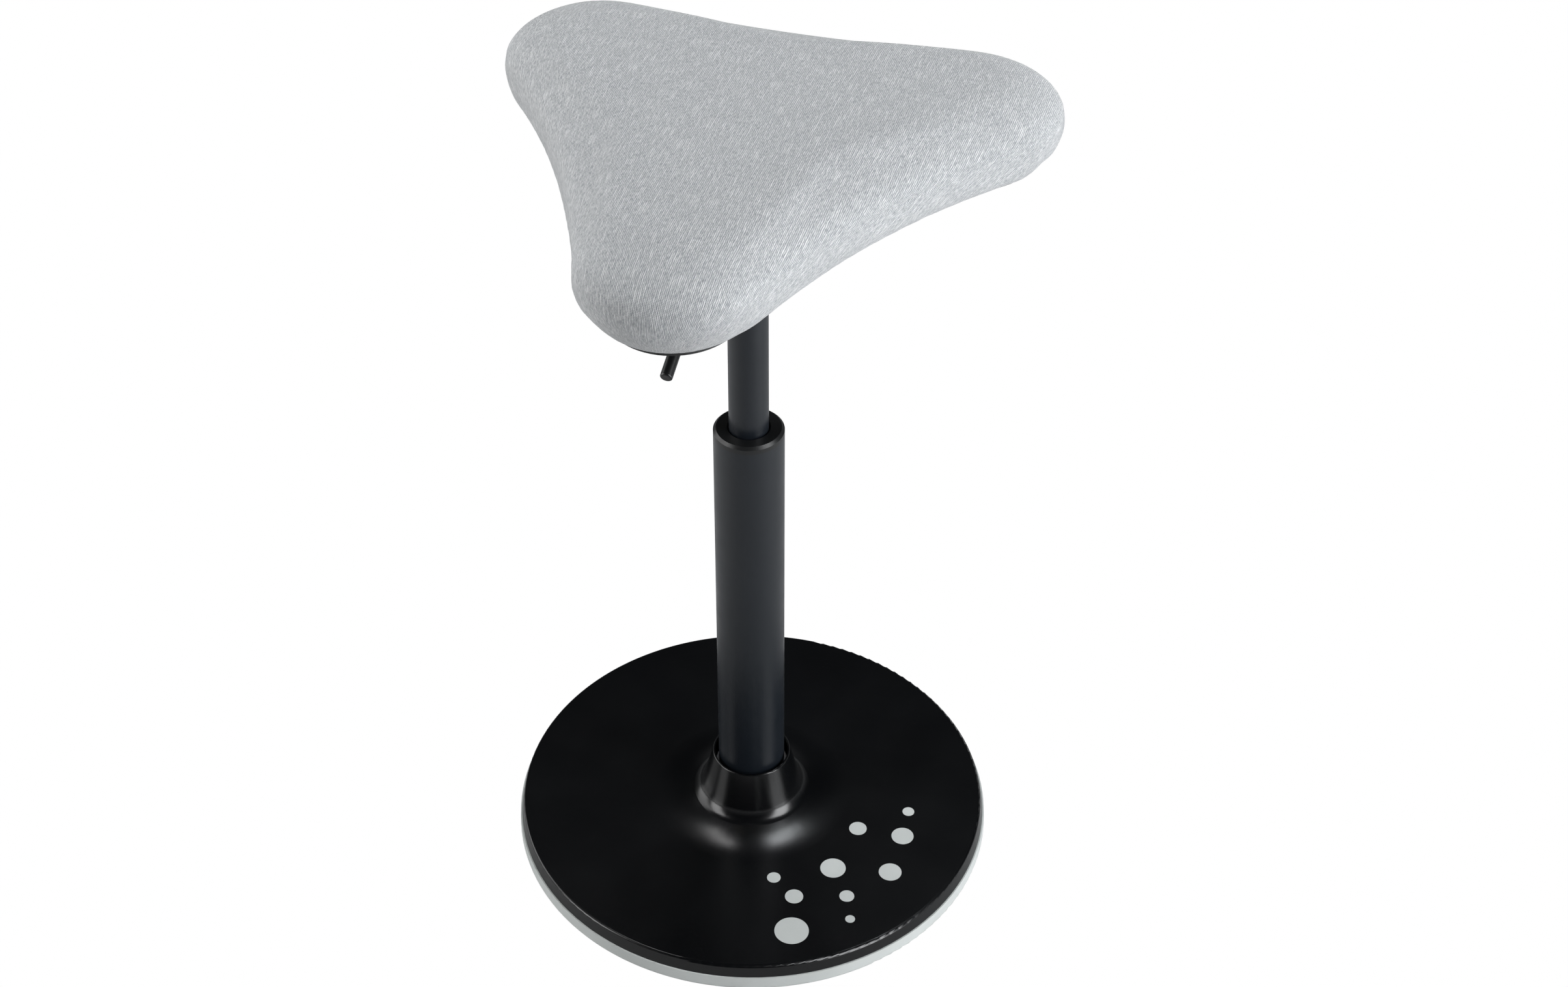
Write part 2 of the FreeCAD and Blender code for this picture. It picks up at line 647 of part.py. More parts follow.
def make_rod_guide():
    return ring(ROD_RADIUS + RUNNING_GAP, CYLINDER_BORE_RADIUS, GUIDE_BOTTOM, GUIDE_TOP)


def make_rod_seal():
    return ring(ROD_RADIUS + RUNNING_GAP, CYLINDER_BORE_RADIUS, GUIDE_TOP, SEAL_TOP)


def make_valve_body():
    return ring(PIN_STEM_RADIUS + RUNNING_GAP, CYLINDER_BORE_RADIUS, VALVE_BODY_BOTTOM, VALVE_BODY_TOP)


def make_valve_pin():
    """Push pin with a domed head that stands a stroke above the cylinder's end."""
    head_edge = (PIN_HEAD_RADIUS, PIN_TOP - PIN_DOME)
    dome_radius = (PIN_HEAD_RADIUS ** 2 + PIN_DOME ** 2) / (2 * PIN_DOME)
    half = PIN_HEAD_RADIUS / 2
    half_height = PIN_TOP - dome_radius + math.sqrt(dome_radius ** 2 - half ** 2)
    stem_end = PIN_HEAD_BOTTOM - PIN_STEM_LENGTH
    return turn_edges([
        line((0, stem_end), (PIN_STEM_RADIUS, stem_end)),
        line((PIN_STEM_RADIUS, stem_end), (PIN_STEM_RADIUS, PIN_HEAD_BOTTOM)),
        line((PIN_STEM_RADIUS, PIN_HEAD_BOTTOM), (PIN_HEAD_RADIUS, PIN_HEAD_BOTTOM)),
        line((PIN_HEAD_RADIUS, PIN_HEAD_BOTTOM), head_edge),
        arc(head_edge, (half, half_height), (0, PIN_TOP)),
        line((0, PIN_TOP), (0, stem_end)),
    ])


def make_taper_socket():
    """Steel sleeve with the same taper as the cylinder's end."""
    return turn([
        (CYLINDER_RADIUS, TAPER_BOTTOM),
        (TAPER_SOCKET_RADIUS, TAPER_BOTTOM),
        (TAPER_SOCKET_RADIUS, CYLINDER_TOP),
        (TAPER_TOP_RADIUS, CYLINDER_TOP),
    ])


def make_channel():
    """Pressed steel box, open at the top, that holds the taper socket and the lever's pin."""
    outer = box(-CHANNEL_HALF, CHANNEL_HALF, -CHANNEL_FRONT, CHANNEL_REAR, CHANNEL_FLOOR, PLATE_BOTTOM)
    inner = box(
        -CHANNEL_INNER_HALF, CHANNEL_INNER_HALF,
        -CHANNEL_FRONT + CHANNEL_WALL, CHANNEL_REAR - CHANNEL_WALL,
        CYLINDER_TOP, PLATE_BOTTOM,
    )
    slot = box(
        -LEVER_SLOT_HALF, LEVER_SLOT_HALF,
        -CHANNEL_FRONT, -CHANNEL_FRONT + CHANNEL_WALL,
        LEVER_HEIGHT - LEVER_SLOT_LOW, LEVER_HEIGHT + LEVER_SLOT_HIGH,
    )
    channel = outer.cut(inner).cut(slot)
    channel = channel.cut(rod(TAPER_SOCKET_RADIUS, CHANNEL_FLOOR, CYLINDER_TOP))
    return channel.cut(cross_rod(PIVOT_PIN_RADIUS, CHANNEL_HALF, -LEVER_PIVOT_REACH, LEVER_HEIGHT))


def make_pivot_pin():
    half = CHANNEL_HALF + PIVOT_PIN_OVERHANG
    return cross_rod(PIVOT_PIN_RADIUS, half, -LEVER_PIVOT_REACH, LEVER_HEIGHT)


def make_pin_clips():
    """Push-on washers at both ends of the pivot pin."""
    clips = []
    for x in (CHANNEL_HALF, -CHANNEL_HALF - PIN_CLIP_THICKNESS):
        place = vec(x, -LEVER_PIVOT_REACH, LEVER_HEIGHT)
        disc = Part.makeCylinder(PIN_CLIP_RADIUS, PIN_CLIP_THICKNESS, place, vec(1, 0, 0))
        clips.append(disc.cut(make_pivot_pin()))
    return Part.makeCompound(clips)


def make_lever_rod():
    """Round rod from the pivot boss, bent down to a short straight handle with a rounded end."""
    droop = math.radians(LEVER_DROOP)
    along = vec(0, -math.cos(droop), -math.sin(droop))
    start = vec(0, -LEVER_PIVOT_REACH, LEVER_HEIGHT)
    corner = vec(0, -LEVER_BEND_REACH, LEVER_HEIGHT)
    tangent = LEVER_BEND_RADIUS * math.tan(droop / 2)
    bend_start = corner + vec(0, tangent, 0)
    bend_end = corner + along * tangent
    centre = bend_start - vec(0, 0, LEVER_BEND_RADIUS)
    half = droop / 2
    bend_middle = centre + vec(0, -math.sin(half), math.cos(half)) * LEVER_BEND_RADIUS
    tip = corner + along * ((LEVER_TIP_REACH - LEVER_BEND_REACH) / math.cos(droop))
    path = Part.Wire([
        Part.LineSegment(start, bend_start).toShape(),
        Part.Arc(bend_start, bend_middle, bend_end).toShape(),
        Part.LineSegment(bend_end, tip).toShape(),
    ])
    section = Part.Wire([Part.makeCircle(LEVER_RADIUS, start, vec(0, -1, 0))])
    lever = path.makePipeShell([section], True, False)
    tip_edges = [e for e in lever.Edges if (e.CenterOfMass - tip).Length < 0.1 * LEVER_RADIUS]
    lever = lever.makeFillet(LEVER_TIP_ROUND, tip_edges)
    return lever.cut(lever_boss_round())


def lever_boss_round():
    return cross_rod(LEVER_BOSS_RADIUS, LEVER_BOSS_LENGTH / 2, -LEVER_PIVOT_REACH, LEVER_HEIGHT)


def make_lever_boss():
    bore_radius = PIVOT_PIN_RADIUS + RUNNING_GAP
    bore = cross_rod(bore_radius, LEVER_BOSS_LENGTH / 2, -LEVER_PIVOT_REACH, LEVER_HEIGHT)
    return lever_boss_round().cut(bore)


def make_lever_tongue():
    """Flat bar from the boss to just past the valve pin."""
    half = TONGUE_WIDTH / 2
    tongue = box(-half, half, -LEVER_PIVOT_REACH, TONGUE_OVERHANG, TONGUE_BOTTOM, TONGUE_TOP)
    return tongue.cut(lever_boss_round())


def seat_screw_places():
    return [(x, y) for x in (-SEAT_SCREW_X, SEAT_SCREW_X) for y in (-SEAT_SCREW_Y, SEAT_SCREW_Y)]


def rounded_plate(length, width, corner, low, high):
    """Upright prism with a rectangular outline and round corners."""
    plate = box(-length / 2, length / 2, -width / 2, width / 2, low, high)
    upright = [e for e in plate.Edges if abs(e.tangentAt(e.FirstParameter).z) > 0.5]
    return plate.makeFillet(corner, upright)


def make_mounting_plate():
    plate = rounded_plate(PLATE_LENGTH, PLATE_WIDTH, PLATE_CORNER, PLATE_BOTTOM, BOSS_BOTTOM)
    for x, y in seat_screw_places():
        plate = plate.cut(rod(SEAT_SCREW_RADIUS + HOLE_GAP, PLATE_BOTTOM, BOSS_BOTTOM, x, y))
    return plate


def make_seat_screws():
    screws = []
    for x, y in seat_screw_places():
        head = rod(SEAT_SCREW_HEAD_RADIUS, PLATE_BOTTOM - SEAT_SCREW_HEAD_HEIGHT, PLATE_BOTTOM, x, y)
        screws.append(head.fuse(rod(SEAT_SCREW_RADIUS, PLATE_BOTTOM, tnut_seat(), x, y)))
    return Part.makeCompound(screws)


def tnut_seat():
    """Height of the flat seats of the T-nuts, at the board's top where it is lowest under them."""
    reach = math.hypot(SEAT_SCREW_X, SEAT_SCREW_Y) + TNUT_FLANGE_RADIUS
    return BOARD_TOP - SEAT_DROOP * reach ** 2 - TNUT_FLANGE_THICKNESS


def tnut_solid(x, y):
    barrel = rod(TNUT_BARREL_RADIUS, BOSS_BOTTOM, tnut_seat(), x, y)
    flange = rod(TNUT_FLANGE_RADIUS, tnut_seat(), tnut_seat() + TNUT_FLANGE_THICKNESS, x, y)
    return barrel.fuse(flange)


def make_tnuts():
    """Flanged nuts let into the board, each with the screw's bore through its barrel."""
    nuts = []
    for x, y in seat_screw_places():
        nuts.append(tnut_solid(x, y).cut(rod(SEAT_SCREW_RADIUS, BOSS_BOTTOM, tnut_seat(), x, y)))
    return Part.makeCompound(nuts)


def outline_radius(degrees, inset):
    """Distance from the axis to the seat's outline, drawn in by the inset."""
    step = 360.0 / LOBE_COUNT
    from_lobe = math.radians(abs((degrees - FIRST_LOBE_FACING + step / 2) % step - step / 2))
    half_step = math.radians(step / 2)
    lobe = LOBE_RADIUS - inset
    side = SIDE_RADIUS + inset
    side_centre = side_centre_distance()
    joint = LOBE_CENTRE + lobe * side_direction()[0], lobe * side_direction()[1]
    if from_lobe <= math.atan2(joint[1], joint[0]):
        across = LOBE_CENTRE * math.sin(from_lobe)
        return LOBE_CENTRE * math.cos(from_lobe) + math.sqrt(lobe ** 2 - across ** 2)
    across = side_centre * math.sin(half_step - from_lobe)
    return side_centre * math.cos(half_step - from_lobe) - math.sqrt(side ** 2 - across ** 2)


def side_centre_distance():
    """Distance from the axis to the centre of a hollow side's arc, which is tangent to two lobes."""
    cosine = math.cos(math.pi / LOBE_COUNT)
    reach = LOBE_RADIUS + SIDE_RADIUS
    return LOBE_CENTRE * cosine + math.sqrt(reach ** 2 - LOBE_CENTRE ** 2 * (1 - cosine ** 2))


def side_direction():
    """Unit vector from a lobe's centre on +X to the centre of the side arc beside it."""
    distance = side_centre_distance()
    angle = math.pi / LOBE_COUNT
    reach = LOBE_RADIUS + SIDE_RADIUS
    return (distance * math.cos(angle) - LOBE_CENTRE) / reach, distance * math.sin(angle) / reach


def outline_curve(inset, height, droop=SEAT_DROOP):
    """Closed smooth curve round the seat, sagging with the square of the distance from the axis."""
    points = []
    for i in range(OUTLINE_POINTS):
        degrees = 360.0 * i / OUTLINE_POINTS
        radius = outline_radius(degrees, inset)
        x, y = polar(radius, degrees)
        points.append(vec(x, y, height - droop * radius ** 2))
    curve = Part.BSplineCurve()
    curve.interpolate(Points=points, PeriodicFlag=True)
    return Part.Wire([curve.toShape()])


def outline_prism(inset, low, high):
    """Upright prism with the seat's outline, drawn with its true arcs."""
    step = 360.0 / LOBE_COUNT
    lobe = LOBE_RADIUS - inset
    side = SIDE_RADIUS + inset
    ux, uy = side_direction()
    lobe_half = math.degrees(math.atan2(uy, ux))
    edges = []
    for i in range(LOBE_COUNT):
        facing = FIRST_LOBE_FACING + i * step
        cx, cy = polar(LOBE_CENTRE, facing)
        points = []
        for turned in (-lobe_half, 0, lobe_half):
            dx, dy = polar(lobe, facing + turned)
            points.append(vec(cx + dx, cy + dy, low))
        edges.append(Part.Arc(*points).toShape())
        side_facing = facing + step / 2
        waist = side_centre_distance() - side
        mx, my = polar(waist, side_facing)
        nx, ny = polar(LOBE_CENTRE, facing + step)
        ex, ey = polar(lobe, facing + step - lobe_half)
        side_points = [points[2], vec(mx, my, low), vec(nx + ex, ny + ey, low)]
        edges.append(Part.Arc(*side_points).toShape())
    face = Part.Face(Part.Wire(edges))
    return face.extrude(vec(0, 0, high - low))


def dome(height):
    """Ball whose top stands at the height on the axis and which falls away as the seat does."""
    return Part.makeSphere(DOME_RADIUS, vec(0, 0, height - DOME_RADIUS))


def domed_layer(inset, low, high):
    """Layer with the seat's outline between two drooping surfaces."""
    prism = outline_prism(inset, low - DROOP_ROOM, high + DROOP_ROOM)
    return prism.common(dome(high)).cut(dome(low))


def cushion(skin):
    """Cushion form, drawn in by the skin: crowned top, round upper edge and undercut side."""
    angle = math.radians(SEAT_UNDERCUT_ANGLE)
    low_inset = SEAT_UNDERCUT / (1 - math.cos(angle))
    low_rise = SEAT_WAIST / math.sin(angle) - skin
    high_rise = SEAT_HEIGHT - SEAT_WAIST + EDGE_CROSSING - skin
    bottom = SEAT_UNDERSIDE + skin
    top = SEAT_UNDERSIDE + SEAT_HEIGHT - skin
    sections = [outline_curve(low_inset, bottom - FOOT_DROP, 0.0)]
    for degrees in LOW_SECTIONS:
        a = math.radians(degrees)
        inset = low_inset - (low_inset - skin) * math.cos(a)
        sections.append(outline_curve(inset, WAIST_HEIGHT - low_rise * math.sin(a)))
    for degrees in HIGH_SECTIONS:
        a = math.radians(degrees)
        inset = SEAT_TOP_INSET - (SEAT_TOP_INSET - skin) * math.cos(a)
        sections.append(outline_curve(inset, WAIST_HEIGHT + high_rise * math.sin(a)))
    sections.append(outline_curve(SEAT_TOP_INSET, top + LID_RISE, 0.0))
    body = Part.makeLoft(sections, True, False, False, LOFT_DEGREE)
    return body.common(dome(top)).cut(dome(bottom))


def board_boss_radius():
    """Largest round boss that the hem's opening leaves room for."""
    waist = side_centre_distance() - SIDE_RADIUS
    return waist - BOARD_INSET - HEM_WIDTH - BOARD_BOSS_SETBACK


def board_solid():
    """Moulded seat board with a flat boss below for the mounting plate."""
    boss = rod(board_boss_radius(), BOSS_BOTTOM, BOARD_UNDERSIDE + BOARD_THICKNESS / 2)
    return domed_layer(BOARD_INSET, BOARD_UNDERSIDE, BOARD_TOP).fuse(boss)


def trim_screw_places():
    """Two screws in line along each lobe."""
    facings = [FIRST_LOBE_FACING + i * 360.0 / LOBE_COUNT for i in range(LOBE_COUNT)]
    return [polar(reach, facing) for facing in facings for reach in TRIM_SCREW_REACHES]


def trim_screw_solids():
    """Small screws from the under-cover into the board, following the droop."""
    screws = []
    for x, y in trim_screw_places():
        face = SEAT_UNDERSIDE - UNDER_COVER_THICKNESS - SEAT_DROOP * (x * x + y * y)
        head = rod(TRIM_SCREW_HEAD_RADIUS, face - TRIM_SCREW_HEAD_HEIGHT, face, x, y)
        screws.append(head.fuse(rod(TRIM_SCREW_RADIUS, face, face + TRIM_SCREW_LENGTH, x, y)))
    return screws


def staple_solids():
    """Wire staples that pierce the hem round each lobe, with their legs in the board."""
    staples = []
    reach = LOBE_RADIUS - BOARD_INSET - HEM_WIDTH * STAPLE_HEM_SHARE
    for lobe in range(LOBE_COUNT):
        facing = FIRST_LOBE_FACING + lobe * 360.0 / LOBE_COUNT
        cx, cy = polar(LOBE_CENTRE, facing)
        for i in range(STAPLES_PER_LOBE):
            turned = facing + (i - (STAPLES_PER_LOBE - 1) / 2) * STAPLE_STEP
            dx, dy = polar(reach, turned)
            x, y = cx + dx, cy + dy
            low = SEAT_UNDERSIDE - SEAT_DROOP * (x * x + y * y) + STAPLE_WIRE
            half = STAPLE_WIDTH / 2
            crown = box(-STAPLE_WIRE / 2, STAPLE_WIRE / 2, -half, half, 0, STAPLE_WIRE)
            for side in (-half, half - STAPLE_WIRE):
                leg = box(-STAPLE_WIRE / 2, STAPLE_WIRE / 2, side, side + STAPLE_WIRE, 0, STAPLE_LEG)
                crown = crown.fuse(leg)
            crown.rotate(vec(0, 0, 0), vec(0, 0, 1), turned)
            crown.translate(vec(x, y, low))
            staples.append(crown)
    return staples


def make_seat_board(staples, trim_screws):
    board = board_solid()
    for x, y in seat_screw_places():
        board = board.cut(rod(TNUT_BARREL_RADIUS, BOSS_BOTTOM, tnut_seat(), x, y))
        board = board.cut(rod(TNUT_FLANGE_RADIUS, tnut_seat(), BOARD_TOP, x, y))
    return board.cut(Part.makeCompound(staples)).cut(Part.makeCompound(trim_screws))


def make_seat_foam(inner):
    """Moulded foam that fills the cover above and round the board."""
    foam = inner.cut(board_solid())
    opening = outline_prism(BOARD_INSET, BOARD_UNDERSIDE - DROOP_ROOM, BOARD_UNDERSIDE + BOARD_THICKNESS / 2)
    return foam.cut(opening)


def make_seat_cover(outer, inner):
    """Fabric skin, turned under the board's edge, with the opening that its hem leaves."""
    opening = outline_prism(BOARD_INSET + HEM_WIDTH, SEAT_UNDERSIDE - DROOP_ROOM, BOARD_TOP)
    return outer.cut(inner).cut(opening)


def make_under_cover(trim_screws):
    """Thin black pan under the hem, with a window round the mounting plate."""
    low = SEAT_UNDERSIDE - UNDER_COVER_THICKNESS
    pan = domed_layer(UNDER_COVER_INSET, low, SEAT_UNDERSIDE)
    window = rod(board_boss_radius() + WINDOW_GAP, low - DROOP_ROOM, SEAT_UNDERSIDE + DROOP_ROOM)
    return pan.cut(window).cut(Part.makeCompound(trim_screws))


def main():
    os.makedirs("parts", exist_ok=True)
    save("rocker_sole", make_rocker_sole())
    save("base_weight", make_base_weight())
    save("base_cover", make_base_cover())
    save("dot_inlays", make_dot_inlays())
    save("base_screws", make_base_screws())
    save("column_socket", make_column_socket())
    save("socket_bolts", make_socket_bolts())
    save("column_tube", make_column_tube())
    save("column_cap_ring", make_column_cap_ring())
    save("guide_bush", make_guide_bush())
    save("column_end_plate", make_end_plate())
    save("lower_bearing_race", make_lower_race())
    save("bearing_balls", make_bearing_balls())
    save("bearing_cage", make_bearing_cage())
    save("upper_bearing_race", make_upper_race())
    save("piston_rod", make_piston_rod())
    save("clip_washer", make_clip_washer())
    save("rod_clip", make_rod_clip())
    save("bump_stop", make_bump_stop())
    save("piston", make_piston())
    save("piston_ring", piston_ring_shape())
    save("pressure_cylinder", make_pressure_cylinder())
    save("inner_pressure_tube", make_inner_tube())
    save("rod_guide", make_rod_guide())
    save("rod_seal", make_rod_seal())
    save("valve_body", make_valve_body())
    save("valve_pin", make_valve_pin())
    save("taper_socket", make_taper_socket())
    save("mechanism_channel", make_channel())
    save("pivot_pin", make_pivot_pin())
    save("pin_clips", make_pin_clips())
    save("lever_rod", make_lever_rod())
    save("lever_boss", make_lever_boss())
    save("lever_tongue", make_lever_tongue())
    save("mounting_plate", make_mounting_plate())
    save("seat_screws", make_seat_screws())
    save("seat_tnuts", make_tnuts())
    outer = cushion(0.0)
    inner = cushion(FABRIC_THICKNESS)
    staples = staple_solids()
    trim_screws = trim_screw_solids()
    save("seat_board", make_seat_board(staples, trim_screws))
    save("cover_staples", Part.makeCompound(staples))
    save("under_cover_screws", Part.makeCompound(trim_screws))
    save("seat_foam", make_seat_foam(inner))
    save("seat_cover", make_seat_cover(outer, inner))
    save("seat_under_cover", make_under_cover(trim_screws))


main()
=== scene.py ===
import json
import math
import bmesh
import bpy
from mathutils import Matrix, Vector


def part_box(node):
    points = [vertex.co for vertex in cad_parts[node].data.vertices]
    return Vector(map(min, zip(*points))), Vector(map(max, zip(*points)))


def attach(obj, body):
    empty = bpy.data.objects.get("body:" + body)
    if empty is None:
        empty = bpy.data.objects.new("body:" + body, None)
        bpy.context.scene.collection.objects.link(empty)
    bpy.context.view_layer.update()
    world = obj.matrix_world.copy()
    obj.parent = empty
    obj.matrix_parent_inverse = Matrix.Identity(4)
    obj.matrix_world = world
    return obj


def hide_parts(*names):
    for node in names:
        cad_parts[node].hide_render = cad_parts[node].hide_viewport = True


# Perch stool, in metres: +Z up, origin on the floor, -Y towards the lobe over the lever.

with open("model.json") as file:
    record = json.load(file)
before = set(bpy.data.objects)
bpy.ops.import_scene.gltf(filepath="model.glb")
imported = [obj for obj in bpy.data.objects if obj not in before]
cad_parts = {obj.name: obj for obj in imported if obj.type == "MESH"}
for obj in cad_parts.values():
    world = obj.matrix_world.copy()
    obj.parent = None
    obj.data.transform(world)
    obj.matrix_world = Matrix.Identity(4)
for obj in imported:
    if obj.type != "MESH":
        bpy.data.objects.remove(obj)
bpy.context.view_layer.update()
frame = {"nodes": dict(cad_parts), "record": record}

# Photograph's frame and viewpoint
FRAME_WIDTH = 2408
FRAME_HEIGHT = 1515
SENSOR_WIDTH = 36.0
FOCAL_PIXELS = 3960.6
AXIS_PIXEL = (1074.2, 656.4)
CAMERA_PLACE = Vector((0.4186, -1.3472, 1.4841))
CAMERA_TURN = math.radians(18.65)
CAMERA_PITCH = math.radians(37.88)
CAMERA_ROLL = math.radians(-1.33)
CAMERA_REACH = 50.0

# Seat outline and section
LOBE_COUNT = 3
LOBE_CENTRE = 0.1478
LOBE_RADIUS = 0.0618
SIDE_RADIUS = 0.640
SEAT_HEIGHT = 0.057
SEAT_WAIST = 0.0323
SEAT_UNDERCUT = 0.0175
UNDERCUT_ANGLE = math.radians(58.0)
TOP_INSET = 0.046
DROOP = 0.169
HEM_INSET = 0.0335

# Mesh from which the cover is made
SEAT_SEGMENTS = 144
CAP_RINGS = 12
LOW_STEPS = 8
HIGH_STEPS = 12
OUTLINE_LIMIT = 0.3
OUTLINE_HALVINGS = 40

# Padding of the seat
CLOTH_SPREAD = 0.0014
TOP_ROOM = 0.0022
FOOT_ROOM = 0.0013
VOXEL = 0.005
CLOTH_FRAMES = 20
CLOTH_PRESSURE = 4.0
SWELL_LIMIT = 0.0022
HELD_RISE = 0.006
HEM_RISE = 0.012
DRAW_IN = 0.5
LET_OUT = -0.53
FABRIC_THICKNESS = 0.0012

# Weave of the cover: pitches and drift in metres, patterns in cycles per metre across and along
RIB_PITCH = 0.00116
STITCH_PITCH = 0.00092
RIB_DRIFT = 0.0004
WEAVE_RELIEF = 0.00022
DRIFT_PATTERN = 260.0
SLUB_PATTERN = (850.0, 72.0, 1.0)
STRAND_PATTERN = (1500.0, 330.0, 1.0)
MOTTLE_PATTERN = 34.0
DARK_STRAND = (0.30, 0.315, 0.33)
PALE_STRAND = (0.70, 0.71, 0.715)
SLUB_COLOUR = (0.92, 0.925, 0.92)
MOTTLE_COLOUR = (0.38, 0.39, 0.40)
# Painted shade: colours laid darker in the valleys between ribs and darkest in the gaps between
# stitches of the knit.
VALLEY_SHADE_COLOUR = (0.22, 0.23, 0.245)
HOLE_SHADE_COLOUR = (0.07, 0.075, 0.08)

# Studio
COLUMN_MIDDLE = (0, 0, 0.45)
HUB_FOOT = (0, 0, 0.1)
WHITE = (1.0, 1.0, 1.0)
COOL_WHITE = (0.97, 0.985, 1.0)
BLUE_WHITE = (0.93, 0.97, 1.0)
SKY_TINT = (0.96, 0.98, 1.0)
HORIZON_LEVEL = 0.25
OVERHEAD_LEVEL = 0.01
OVERHEAD_START = 0.4
FLOOR_REACH = 6.0


class Look:
    """One procedural material. Its methods add nodes and hand back their outputs."""

    def __init__(self, name):
        self.material = bpy.data.materials.new(name)
        self.material.use_nodes = True
        self.nodes = self.material.node_tree.nodes
        self.links = self.material.node_tree.links
        self.shader = self.nodes["Principled BSDF"]
        self.place = self.nodes.new("ShaderNodeTexCoord").outputs["Object"]

    def set(self, **values):
        """Sets sockets of the shader, named with underscores for spaces."""
        for name, value in values.items():
            self.shader.inputs[name.replace("_", " ")].default_value = value

    def feed(self, name, output):
        """Joins an output to a socket of the shader."""
        self.links.new(output, self.shader.inputs[name])

    def scaled(self, scale, vector=None):
        """Place on the object, or another vector, stretched along each axis."""
        node = self.nodes.new("ShaderNodeMapping")
        node.inputs["Scale"].default_value = scale
        self.links.new(vector or self.place, node.inputs["Vector"])
        return node.outputs["Vector"]

    def noise(self, scale, detail=2.0, vector=None, roughness=0.5):
        """Cloudy pattern between 0 and 1."""
        node = self.nodes.new("ShaderNodeTexNoise")
        node.inputs["Scale"].default_value = scale
        node.inputs["Detail"].default_value = detail
        node.inputs["Roughness"].default_value = roughness
        self.links.new(vector or self.place, node.inputs["Vector"])
        return node.outputs["Fac"]

    def spread(self, value, low, high, new_low=0.0, new_high=1.0):
        """Maps a range of a value onto another, clamped."""
        node = self.nodes.new("ShaderNodeMapRange")
        node.inputs["From Min"].default_value = low
        node.inputs["From Max"].default_value = high
        node.inputs["To Min"].default_value = new_low
        node.inputs["To Max"].default_value = new_high
        self.links.new(value, node.inputs["Value"])
        return node.outputs["Result"]

    def combine(self, kind, first, second=None):
        """Math node: each operand is an output or a number."""
        node = self.nodes.new("ShaderNodeMath")
        node.operation = kind
        for socket, value in zip(node.inputs, (first, second)):
            if isinstance(value, (int, float)):
                socket.default_value = value
            elif value is not None:
                self.links.new(value, socket)
        return node.outputs["Value"]

    def mix(self, factor, first, second):
        """Mixes two colours, each an output or a tuple."""
        node = self.nodes.new("ShaderNodeMix")
        node.data_type = "RGBA"
        self.links.new(factor, node.inputs["Factor"])
        colour_sockets = [s for s in node.inputs if s.type == "RGBA"]
        for socket, value in zip(colour_sockets, (first, second)):
            if isinstance(value, tuple):
                socket.default_value = (*value, 1.0)
            else:
                self.links.new(value, socket)
        return [s for s in node.outputs if s.type == "RGBA"][0]

    def bump(self, height, distance, strength=1.0, under=None):
        """Normal for a relief of the given depth, over another relief if there is one."""
        node = self.nodes.new("ShaderNodeBump")
        node.inputs["Distance"].default_value = distance
        node.inputs["Strength"].default_value = strength
        self.links.new(height, node.inputs["Height"])
        if under is not None:
            self.links.new(under, node.inputs["Normal"])
        return node.outputs["Normal"]


def moulded_plastic(name, dark, light, roughness, grain=0.00004):
    """Plastic with faint uneven tone, uneven polish and a fine moulded grain."""
    look = Look(name)
    look.set(IOR=1.5)
    tone = look.spread(look.noise(14.0, 4.0), 0.3, 0.7)
    look.feed("Base Color", look.mix(tone, dark, light))
    polish = look.noise(25.0, 3.0)
    look.feed("Roughness", look.spread(polish, 0.3, 0.7, roughness - 0.01, roughness + 0.015))
    look.feed("Normal", look.bump(look.noise(1600.0, 2.0), grain, 0.5))
    return look.material


def painted_steel(name, dark, light, roughness):
    """Satin powder coat: fine orange peel over an even dark colour."""
    look = Look(name)
    look.set(IOR=1.5)
    tone = look.spread(look.noise(9.0, 3.0), 0.3, 0.7)
    look.feed("Base Color", look.mix(tone, dark, light))
    polish = look.noise(60.0, 4.0)
    look.feed("Roughness", look.spread(polish, 0.3, 0.7, roughness - 0.03, roughness + 0.04))
    fine = look.bump(look.noise(2600.0, 2.0), 0.00002, 0.6)
    look.feed("Normal", look.bump(look.noise(700.0, 1.0), 0.00003, 0.35, fine))
    return look.material


def bare_metal(name, dark, light, roughness, streak=(1.0, 1.0, 1.0)):
    """Metal with fine turning or drawing marks along the streaks."""
    look = Look(name)
    look.set(Metallic=1.0)
    marks = look.noise(900.0, 3.0, look.scaled(streak))
    look.feed("Base Color", look.mix(look.spread(marks, 0.3, 0.7), dark, light))
    look.feed("Roughness", look.spread(marks, 0.3, 0.7, roughness - 0.05, roughness + 0.08))
    look.feed("Normal", look.bump(marks, 0.00002, 0.4))
    return look.material


def pale_rubber(name):
    """Pale greenish grey elastomer with a fine matt grain and faint scuffs."""
    look = Look(name)
    look.set(IOR=1.48)
    cloud = look.spread(look.noise(18.0, 4.0), 0.35, 0.65)
    body = look.mix(cloud, (0.47, 0.495, 0.485), (0.53, 0.555, 0.545))
    scuff = look.spread(look.noise(70.0, 6.0, roughness=0.65), 0.62, 0.74)
    look.feed("Base Color", look.mix(scuff, body, (0.42, 0.445, 0.44)))
    look.feed("Roughness", look.spread(look.noise(120.0, 3.0), 0.3, 0.7, 0.5, 0.62))
    look.feed("Normal", look.bump(look.noise(1400.0, 2.0), 0.00005, 0.5))
    return look.material


def soft_rubber(name):
    """Black seal rubber, matt and faintly cloudy."""
    look = Look(name)
    look.set(IOR=1.48)
    cloud = look.noise(60.0, 3.0)
    look.feed("Base Color", look.mix(cloud, (0.018, 0.018, 0.018), (0.035, 0.035, 0.036)))
    look.feed("Roughness", look.spread(look.noise(200.0), 0.3, 0.7, 0.6, 0.75))
    look.feed("Normal", look.bump(look.noise(1200.0, 2.0), 0.00005, 0.5))
    return look.material


